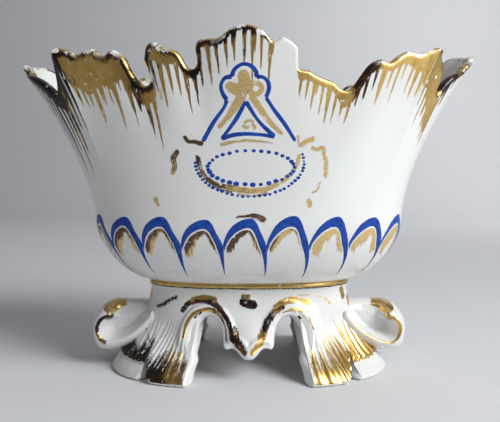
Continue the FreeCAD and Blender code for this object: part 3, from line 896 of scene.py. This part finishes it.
baseShape = {
    "top": bandLow[2],
    "topHalf": (32.5, 16.0),
    "flare": (13.5, 13.5),
    "power": (1.8, 1.5),
    "square": (2.3, 0.2),
    "wall": 4.2,
    "neck": boxOf("neck")[0][2],    # height of the joint between the neck and the feet
    "apronEdge": (15.4, 17.2),      # x and height on the joint between the apron and a foot
    "archesWithin": 18.2,           # x of the outer foot of an arch
    "calm": (0.5, 0.5, 0.9),        # spread of the averages that round the lower edge: turn, height, lip
    "rows": (6, 44, 9, 14),         # down the neck, down the feet, round the lip and up the inside
    "columns": 900,
}

# attributes of the gilding, and their values on the inside of the base, where nothing is painted
bareFields = {"inside": -3.0, "ragged": 0.3, "tarnish": 0.4}

# relief of the base, outward
baseRelief = {"flute": 0.31, "flutePitch": 3.0, "moulding": 1.0, "ledge": -1.2, "drop": 1.3, "bead": 0.6,
              "hollow": -1.3, "paw": 1.3}

# lower edge from the middle of the front to the side: x, height, reach of the rounded lip
hemFront = [
    (0.0, 6.9, 1.5), (1.6, 7.1, 1.5), (3.0, 8.3, 1.4), (4.4, 9.9, 1.1), (5.6, 10.0, 0.9), (6.4, 9.3, 0.8),
    (7.5, 9.5, 0.8), (8.1, 10.6, 0.9), (8.2, 12.8, 1.3), (8.8, 15.6, 1.6), (10.4, 17.9, 1.8), (12.6, 18.6, 1.9),
    (15.0, 17.8, 2.0), (16.6, 15.6, 2.2), (17.1, 13.2, 2.3), (17.0, 10.0, 2.3), (16.6, 7.6, 2.0), (16.1, 6.4, 1.7),
    (16.6, 5.4, 1.7), (17.2, 3.4, 1.6), (17.7, 0.9, 1.4), (18.5, 0.1, 1.2), (24.0, 0.0, 1.2), (29.9, 0.1, 1.1),
    (30.8, 1.0, 0.9), (31.2, 4.0, 0.8), (31.4, 7.0, 0.8), (32.1, 8.0, 0.8), (32.8, 7.0, 0.8), (33.0, 4.0, 0.8),
    (33.3, 1.0, 0.9), (34.1, 0.1, 1.1),
]
# and along the side: y, height, reach
hemSide = [(-16.0, 0.0, 1.2), (-8.0, 0.0, 1.2), (-4.6, 0.1, 1.2), (-3.4, 1.2, 1.1), (-2.6, 3.0, 1.0),
           (-1.0, 3.6, 1.0)]


def basePlan(height):
    # half sizes grow from the waist as share^power, share being 0 at the top and 1 on the ground
    s = baseShape
    share = np.clip((s["top"] - height) / s["top"], 0.0, 1.0)
    a = s["topHalf"][0] + s["flare"][0] * share ** s["power"][0]
    b = s["topHalf"][1] + s["flare"][1] * share ** s["power"][1]
    return a, b, s["square"][0] + s["square"][1] * share


def basePoint(angle, height, inset=0.0, lift=0.0):
    a, b, n = basePlan(height)
    x, y, nx, ny = planPoint(angle, a - inset, a - inset, b - inset, n)
    return np.stack([x + lift * nx, y + lift * ny, height + 0.0 * x], -1)


def hemLoop(count):
    # a quarter from hemFront and hemSide, mirrored to the left and then to the rear, as angle, height and reach
    front, side = np.array(hemFront), np.array(hemSide)
    a, b, n = basePlan(front[:, 1])
    share = front[:, 0] / a
    frontTurn = -np.arctan2((1.0 - share ** n) ** (1.0 / n), share)
    a, b, n = basePlan(side[:, 1])
    share = -side[:, 0] / b
    sideTurn = -np.arctan2(share, (1.0 - share ** n) ** (1.0 / n))
    quarter = np.column_stack([np.concatenate([frontTurn, sideTurn]), np.concatenate([front, side])[:, 1:]])
    mirrored = quarter[:0:-1] * (-1, 1, 1) - (math.pi, 0, 0)
    half = np.concatenate([mirrored, quarter])
    loop = np.concatenate([half, half[-2:0:-1] * (-1, 1, 1)])
    return calmedLoop(basePoint, loop, 5000, baseShape["calm"], count)


def nearest(points, targets):
    # distance from every point to the nearest target
    flat = points.reshape(-1, points.shape[-1])
    found = np.concatenate([np.sqrt(((block[:, None] - targets[None]) ** 2).sum(-1).min(1))
                            for block in np.array_split(flat, 60)])
    return found.reshape(points.shape[:-1])


# strokes painted on the front and back of the base: path of x and height, half width, fraying, tarnish and painted
# shade, the strokes at the far left darkest as painted shade
baseStrokes = [
    ([(-20.6, 20.0), (-18.6, 22.2), (-14.5, 23.2), (-10.8, 22.4), (-7.6, 19.6), (-5.4, 15.6), (-4.9, 12.8)],
     0.80, 0.6, 0.78),
    ([(-17.4, 23.4), (-13.8, 24.2), (-10.4, 23.6)], 0.75, 0.35, 0.08),
    ([(-19.7, 13.0), (-19.0, 16.6), (-16.8, 19.4), (-13.4, 20.7), (-11.6, 20.9)], 0.65, 0.5, 0.22),
    ([(-10.6, 20.2), (-8.8, 18.0), (-7.9, 15.0), (-7.6, 12.6)], 1.05, 0.6, 0.52),
    ([(-4.8, 15.0), (-3.6, 12.4), (-1.8, 9.4)], 1.30, 1.5, 0.78),
    ([(-1.6, 23.0), (0.0, 22.4), (1.4, 22.2)], 1.35, 0.35, 0.90),
    ([(-1.8, 24.6), (0.0, 24.6)], 0.70, 0.25, 0.15),
    ([(4.4, 14.6), (3.2, 11.6), (1.4, 9.2)], 1.00, 1.3, 0.45),
    ([(4.4, 13.4), (5.6, 17.0), (7.8, 20.0), (10.0, 21.8)], 1.05, 0.9, 0.62),
    ([(8.4, 21.4), (11.4, 23.2), (14.6, 23.4)], 1.00, 0.6, 0.12),
    ([(16.4, 23.2), (18.8, 22.4)], 0.85, 0.5, 0.15),
    ([(7.9, 13.0), (8.2, 15.2), (9.2, 17.4)], 0.60, 0.8, 0.35),
    ([(8.9, 17.2), (11.2, 19.9), (14.2, 20.9), (17.4, 19.8)], 0.45, 0.45, 0.15),
    ([(18.4, 18.4), (20.0, 15.0)], 0.30, 0.3, 0.75),
    ([(15.5, 24.6), (19.5, 24.6), (23.4, 23.6), (25.6, 21.6)], 0.30, 0.45, 0.15),
    ([(-29.0, 20.2), (-27.0, 21.2), (-25.0, 22.6), (-22.8, 23.6)], 0.55, 1.3, 0.98),
    ([(-33.0, 13.6), (-30.6, 9.6)], 0.25, 0.8, 0.95),
    ([(-31.8, 24.2), (-32.6, 21.6)], 0.75, 0.2, 0.30),
    ([(29.8, 25.6), (30.5, 22.8)], 0.75, 0.2, 0.20),
    ([(32.4, 22.4), (33.2, 19.6)], 0.75, 0.2, 0.20),
]


def apronTurn():
    # direction of the joint between the apron and the right front foot
    x, height = baseShape["apronEdge"]
    a, b, n = basePlan(height)
    return math.degrees(-math.atan2((1.0 - (x / a) ** n) ** (1.0 / n), x / a))


def toePattern(hem):
    # along the lower edge: 1 on the toes, the flutes' phase, and their ridges as cos(2 pi phase)
    x, height = np.abs(hem[:, 0]), hem[:, 2]
    side = x >= 32.0
    front = (x > 16.4) & (x < 32.0) & (height < 9.0)
    on = softened((front | side).astype(float), 2.0)
    step = np.linalg.norm(hem[1] - hem[0])
    phase = np.cumsum(on * step * (1.0 + 0.25 * np.sin(np.arange(len(x)) * 0.071))) / baseRelief["flutePitch"]
    return {"on": on, "side": side, "phase": phase, "ridge": np.cos(2 * math.pi * phase), "step": step}


def baseLift(x, height, away, toe):
    # Sum of rises and bells: fluting that fans down the toes, a raised band round each arch, a step above the
    # side toes, a full centre drop with a bead over it, hollow shoulders and rounded toe ends.
    r, ridge = baseRelief, toe["ridge"]
    side = softened(toe["side"].astype(float), 3.0)
    fluting = toe["on"] * r["flute"] * (1.0 - rise(height, 7.0, 19.0)) * (0.4 + 0.6 * rise(height, 0.0, 6.0)) * ridge
    fluting *= rise(away, 1.6, 3.6) * (1.0 - side * (1.0 - rise(height, 4.4, 5.2)))
    moulding = r["moulding"] * (rise(away, 1.2, 2.6) - rise(away, 3.9, 5.0)) * (rise(height, 8.0, 13.0) * (x < 24.0))
    stepHeight = 5.2 + 0.5 * ridge
    ledge = r["ledge"] * side * (1.0 - rise(height, stepHeight - 0.35, stepHeight + 0.35))
    drop = r["drop"] * bell(x, 0.0, 4.2) * (1.0 - rise(height, 13.0, 21.0))
    bead = r["bead"] * np.exp(-(x / 2.2) ** 2 - ((height - 22.7) / 1.7) ** 2)
    hollow = r["hollow"] * bell(x, 27.0, 6.0) * bell(height, 13.5, 5.5)
    paw = r["paw"] * toe["on"] * bell(height, 2.6, 3.6)
    return (fluting + moulding + ledge + drop + bead + hollow + paw) * rise(baseShape["top"] - height, 0.3, 3.0)


def baseGilding(x, signed, away, toe):
    # inside, ragged and tarnish with painted shade over the outside: the painted strokes, then gold on the toes,
    # whose inside falls as 1 - above / long, long being each flute's own random length
    height = signed[..., 1]
    inside, ragged, tarnish = np.full(x.shape, -3.0), np.full(x.shape, 0.5), np.full(x.shape, 0.4)
    for knots, half, fray, dark in baseStrokes:
        depth = half - nearest(signed, curveThrough(knots, 50))
        nearer = depth > inside
        inside, ragged = np.where(nearer, depth, inside), np.where(nearer, fray, ragged)
        tarnish = np.where(nearer, dark, tarnish)
    own = np.abs(np.sin(np.floor(toe["phase"] + 0.5) * 12.9898))
    left, side = signed[..., 0] < 0, toe["side"]
    above = height - np.where(side, 4.6, 0.6)
    long = np.where(left, np.where(side, 4.0, 6.0) + 5.0 * own, np.where(side, 9.0, 11.0) + 9.0 * own)
    gold = (1.0 - above / long) * 1.5 + np.where(left, 0.08, 0.24) * toe["ridge"] - np.where(left, 0.40, 0.66)
    gold = np.where((toe["on"] > 0.4) & (above > 0) & (away > 1.6), gold, -3.0)
    gold = np.minimum(gold, above)
    nearer = gold > inside
    inside, ragged = np.where(nearer, gold, inside), np.where(nearer, np.where(left, 1.5, 1.0), ragged)
    # painted shade: the left toes' gold is made much darker than the right's, on the side away from the light, along
    # with tarnish
    toeTarnishAndShade = np.where(left, 0.42 + 0.56 * rise(x, 23.0, 27.0), 0.14)
    return inside, ragged, np.where(nearer, toeTarnishAndShade, tarnish)


def shellPart(name, shell, rowList, columnList, whole, node):
    # part of the shell as a closed piece; rowList goes once round its section, and an open run of columns
    # gets faces over either end
    pick = np.ix_(rowList, columnList)
    deep, wide = len(rowList), len(columnList)
    faces = [gridFaces(deep, wide, closedRows=True, closedColumns=whole)]
    if not whole:
        k = np.arange(deep // 2)
        first = np.stack([k, (k + 1), deep - 2 - k, deep - 1 - k], 1)
        first = first[first[:, 1] < first[:, 2]] * wide
        faces += [first, (first + wide - 1)[:, ::-1]]
    newPiece(name, shell["rows"][pick].reshape(-1, 3), faces, reliefGilding, "glazed_porcelain", [node],
             shell["uv"][pick].reshape(-1, 2), {label: shell[label][pick] for label in bareFields},
             shell["normals"][pick].reshape(-1, 3))


def makeBase():
    # Shell round the perimeter. Rows run from the waist down the outside, round the lip of the lower edge and
    # up the inside.
    s = baseShape
    count = s["columns"]
    hemAngle, hemHeight, reach = hemLoop(count)
    edgeAngle, edgeHeight = steppedIn(basePoint, hemAngle, hemHeight, -reach, 1.2)
    ramp = roundTurns(count)
    calm = softened(edgeAngle - ramp, 22.0) + ramp
    neckRows = np.linspace(0.0, 1.0, s["rows"][0])[:-1, None]
    footRows = np.linspace(0.0, 1.0, s["rows"][1])[:, None]
    height = np.concatenate([s["top"] + (s["neck"] - s["top"]) * neckRows + 0.0 * ramp,
                             s["neck"] + (edgeHeight - s["neck"]) * footRows])
    blend = np.concatenate([0.0 * neckRows, rise(footRows, 0.0, 1.0)])
    angle = calm + (edgeAngle - calm) * blend
    plain = basePoint(angle, height)
    x = np.abs(plain[..., 0])
    hem = basePoint(hemAngle, hemHeight)
    toe = toePattern(hem)
    arches = hem[(np.abs(hem[:, 0]) < s["archesWithin"]) & (hemHeight > 2.0)]
    away = nearest(plain, arches[::2])
    outer = basePoint(angle, height, 0.0, baseLift(x, height, away, toe))

    innerRows = np.linspace(1.0, 0.0, s["rows"][3])[:, None]
    innerHeight = np.concatenate([s["neck"] + (edgeHeight - s["neck"]) * innerRows, s["top"] + 0.0 * ramp[None]])
    innerAngle = np.concatenate([calm + (edgeAngle - calm) * rise(innerRows, 0.0, 1.0), calm[None]])
    inner = basePoint(innerAngle, innerHeight, s["wall"])
    lip = roundedLip(outer[-1], inner[0], basePoint(hemAngle, hemHeight, s["wall"] / 2), reach, s["rows"][2])
    rows = np.concatenate([outer, lip, inner])
    rows[..., 2] = np.maximum(rows[..., 2], 0.0)

    normals = np.cross(np.gradient(rows, axis=0), np.roll(rows, -1, 1) - np.roll(rows, 1, 1))
    normals *= np.sign((normals[3] * (rows[3] - (0, 0, 20.0))).sum())
    spread = np.cumsum(np.full(count, toe["step"]))
    shell = {"rows": rows, "normals": normals,
             "uv": np.stack([spread * np.ones((len(rows), 1)), rows[..., 2]], -1) * uvScale}
    signed = np.stack([outer[..., 0] * np.where(outer[..., 1] > 0, -1.0, 1.0), height], -1)
    within = np.full((len(lip) + len(inner), count), 1.0)
    for (label, bare), values in zip(bareFields.items(), baseGilding(x, signed, away, toe)):
        shell[label] = np.concatenate([values, within * bare])

    def columnAt(degrees):
        # column nearest to a direction; the cuts beside an apron keep clear of the toes
        apart = np.abs((np.degrees(hemAngle) - degrees + 180.0) % 360.0 - 180.0)
        return int(np.argmin(apart + 1000.0 * ((hemHeight < 9.0) & (degrees % 180.0 > 1.0))))

    neckCut, total = len(neckRows), len(rows)
    shellPart("neck", shell, list(range(neckCut + 1)) + [total - 2, total - 1], np.arange(count), True, "neck")
    edge = apronTurn()
    cuts = [("footFrontLeft", -180.0, "foot_front_left"), ("frontApron", -180.0 - edge, "front_apron"),
            ("footFrontRight", edge, "foot_front_right"), ("footRearRight", 0.0, "foot_rear_right"),
            ("rearApron", -edge, "rear_apron"), ("footRearLeft", 180.0 + edge, "foot_rear_left")]
    starts = [columnAt(low) for name, low, node in cuts]
    for (name, low, node), begin, end in zip(cuts, starts, starts[1:] + starts[:1]):
        end += count if end <= begin else 0
        shellPart(name, shell, list(range(neckCut, total - 1)), np.arange(begin, end + 1) % count, False, node)


makeBase()
print("base made")

scrollShape = {
    "centre": (40.6, 14.2),     # middle of the hollow face, and how far that face stands from the middle plane
    "hollow": 4.6,
    "rows": (16, 30),           # outside the crest, and in the hollow
    "columns": 220,
    "patch": (43.8, 19.6),      # middle of the gold on top, and of the gold eye by the hook
    "eye": (45.3, 16.2),
    # round the wing from the waist corner under the hollow, out, and back over the top:
    # crest of the raised edge (x, height), outline at the middle plane (x, height), half depth at the crest
    "round": [(31.0, 18.4, 28.5, 14.0, 10.6), (32.6, 15.9, 29.5, 11.5, 10.8), (35.6, 12.9, 32.0, 8.8, 10.9),
              (38.7, 10.7, 36.0, 7.0, 10.9), (42.0, 9.2, 40.2, 5.4, 10.8), (45.2, 8.5, 44.6, 4.3, 10.5),
              (47.3, 9.4, 49.2, 4.9, 10.1), (48.5, 11.3, 51.0, 8.0, 9.8), (48.6, 13.2, 51.6, 12.4, 9.6),
              (47.8, 15.0, 50.9, 16.0, 9.4), (46.2, 16.2, 48.6, 19.0, 9.2), (44.4, 16.3, 45.2, 20.4, 8.8),
              (43.4, 17.2, 42.9, 20.7, 5.4), (41.0, 18.6, 40.0, 20.7, 4.0), (36.4, 18.8, 35.2, 20.6, 4.2),
              (32.0, 18.9, 29.5, 19.6, 6.4)],
}


def loopThrough(knots, count):
    # Catmull-Rom round a closed loop of knots
    knots = np.asarray(knots, float)
    place = np.linspace(0.0, len(knots), count, endpoint=False)
    index = place.astype(int)
    t = (place - index)[:, None]
    o, p, q, r = (knots[(index + k) % len(knots)] for k in (-1, 0, 1, 2))
    return 0.5 * (2 * p + (q - o) * t + (2 * o - 5 * p + 4 * q - r) * t ** 2 + (3 * p - o - 3 * q + r) * t ** 3)


def scrollGilding(side, flat, past):
    # inside and tarnish with painted shade of a scroll: a line along the crest, an eye by the hook and a patch on top
    s = scrollShape
    t = np.linspace(0.0, 1.0, s["columns"], endpoint=False)
    line = (0.62 if side < 0 else 0.34 + 0.34 * bell(t, 0.52, 0.12)) - np.abs(past - 0.15)
    first = 0.30 if side < 0 else 0.03
    onCrest = rise(t, first, first + 0.05) * (1.0 - rise(t, 0.70, 0.74))
    line = np.where(onCrest > 0.5, line, -2.0)
    eye = 1.2 - np.hypot(flat[..., 0] - s["eye"][0], flat[..., 1] - s["eye"][1])
    patch = 2.2 - np.hypot((flat[..., 0] - s["patch"][0]) * 0.62, flat[..., 1] - s["patch"][1])
    patch = np.where(past > 0.4, patch, -2.0)
    inside = np.maximum(np.maximum(line, eye), patch)
    # painted shade: the left scroll's gold is made darker than the right's, away from the light, along with wear
    tarnish = 0.18 if side > 0 else 0.62 + 0.35 * bell(t, 0.55, 0.12)
    return inside, np.where(patch >= inside, 0.12, tarnish)


def makeScroll(name, node, side):
    # Wing with a hollow face to the front and to the rear. From the outline on the middle plane it rounds up as
    # a quarter ellipse to the crest, and falls from the crest to the hollow as a cubic of the way in.
    s = scrollShape
    loop = loopThrough(s["round"], s["columns"])
    crest, outline, depth = loop[:, 0:2], loop[:, 2:4], loop[:, 4]
    swing = np.linspace(0.0, math.pi / 2, s["rows"][0])[:, None]
    outer = outline + (crest - outline) * (1.0 - np.cos(swing) ** 0.9)[..., None]
    v = np.linspace(0.0, 0.97, s["rows"][1])[1:, None] ** 1.3
    centre = np.array(s["centre"])
    inner = crest + (centre - crest) * v[..., None]
    flat = np.concatenate([outer, inner])
    deep = np.concatenate([depth * np.sin(swing) ** 0.9, depth + (s["hollow"] - depth) * rise(v, -0.05, 0.5)])
    front = np.stack([flat[..., 0] * side, -deep, flat[..., 1]], -1)
    points = np.concatenate([front[:0:-1] * (1, -1, 1), front])
    poles = np.array([[centre[0] * side, out, centre[1]] for out in (s["hollow"], -s["hollow"])])

    past = np.concatenate([np.linalg.norm(outer - crest, axis=-1), -np.linalg.norm(inner - crest, axis=-1)])
    inside, tarnish = (np.concatenate([values[:0:-1], values]) for values in scrollGilding(side, flat, past))
    uv = np.stack([points[..., 2] + points[..., 0] * 0.4, points[..., 0]], -1) * uvScale
    fields = {"inside": inside, "ragged": np.full(inside.shape, 0.45), "tarnish": tarnish}
    fields = {label: withPoles(values) for label, values in fields.items()}
    newPiece(name, np.concatenate([points.reshape(-1, 3), poles]), tubeFaces(len(points), s["columns"]),
             reliefGilding, "glazed_porcelain", [node], withPoles(uv, 2), fields)


makeScroll("scrollLeft", "side_scroll_left", -1)
makeScroll("scrollRight", "side_scroll_right", 1)
print("scrolls made")

stageLook = {"size": 2600.0, "bend": 700.0, "radius": 400.0, "top": 1800.0, "colour": (0.74, 0.75, 0.77, 1.0)}
worldLook = {"colour": (0.62, 0.63, 0.64, 1.0), "strength": 0.19}
cameraLook = {"place": (0.4, -199.5, 62.0), "tiltDown": 3.43, "lens": 43.2, "sensor": 36.0}

# name, place, aim, size, watts, colour
softboxes = [
    ("windowRight", (620.0, -420.0, 520.0), (0.0, 0.0, 55.0), (440.0, 500.0), 8.2, (0.98, 0.99, 1.0)),
    ("fillLeft", (-700.0, -500.0, 300.0), (0.0, 0.0, 50.0), (500.0, 500.0), 0.15, (1.0, 0.96, 0.90)),
    ("skyAbove", (0.0, 100.0, 800.0), (0.0, 0.0, 60.0), (700.0, 500.0), 0.6, (1.0, 1.0, 1.0)),
    ("wallWash", (500.0, 500.0, 500.0), (350.0, 1100.0, 200.0), (400.0, 400.0), 1.9, (1.0, 1.0, 1.0)),
]


def makeFloor():
    # flat near the vessel, then a quarter circle up into a far wall
    look = stageLook
    swing = np.linspace(0.1, math.pi / 2, 12)
    x = np.linspace(-look["size"], look["size"], 9)
    y = np.concatenate([np.linspace(-look["size"], look["bend"], 9), look["bend"] + look["radius"] * np.sin(swing),
                        [look["bend"] + look["radius"]]])
    z = np.concatenate([np.zeros(9), look["radius"] * (1 - np.cos(swing)), [look["top"]]])
    gridX, gridY = np.meshgrid(x, y)
    material, _, shader = newMaterial("paleFloor")
    setSockets(shader, {"Base Color": look["colour"], "Roughness": 0.9})
    mesh = bpy.data.meshes.new("paleFloor")
    points = np.stack([gridX, gridY, np.repeat(z[:, None], len(x), 1)], -1).reshape(-1, 3) * mm
    mesh.from_pydata(points.tolist(), [], gridFaces(len(y), len(x)).tolist())
    mesh.polygons.foreach_set("use_smooth", np.ones(len(mesh.polygons), bool))
    mesh.materials.append(material)
    floor = bpy.data.objects.new("paleFloor", mesh)
    bpy.context.scene.collection.objects.link(floor)


def addSoftbox(name, place, aim, size, watts, colour):
    # a rectangular lamp at place that faces aim
    light = bpy.data.lights.new(name, "AREA")
    light.shape = "RECTANGLE"
    light.size, light.size_y = size[0] * mm, size[1] * mm
    light.energy = watts
    light.color = colour
    lamp = bpy.data.objects.new(name, light)
    lamp.location = [v * mm for v in place]
    direction = Vector(aim) - Vector(place)
    lamp.rotation_euler = direction.to_track_quat("-Z", "Y").to_euler()
    bpy.context.scene.collection.objects.link(lamp)


def addWorld():
    world = bpy.data.worlds.new("studio")
    world.use_nodes = True
    background = world.node_tree.nodes["Background"]
    background.inputs["Color"].default_value = worldLook["colour"]
    background.inputs["Strength"].default_value = worldLook["strength"]
    bpy.context.scene.world = world
    bpy.context.scene.view_settings.view_transform = "Standard"


def addCamera():
    look = cameraLook
    camera = bpy.data.cameras.new("camera")
    camera.sensor_width, camera.lens = look["sensor"], look["lens"]
    camera.clip_start, camera.clip_end = 0.01, 20.0
    view = bpy.data.objects.new("camera", camera)
    view.location = [v * mm for v in look["place"]]
    view.rotation_euler = (math.radians(90.0 - look["tiltDown"]), 0.0, 0.0)
    bpy.context.scene.collection.objects.link(view)
    bpy.context.scene.camera = view


makeFloor()
for softbox in softboxes:
    addSoftbox(*softbox)
addWorld()
addCamera()
print("stage ready")
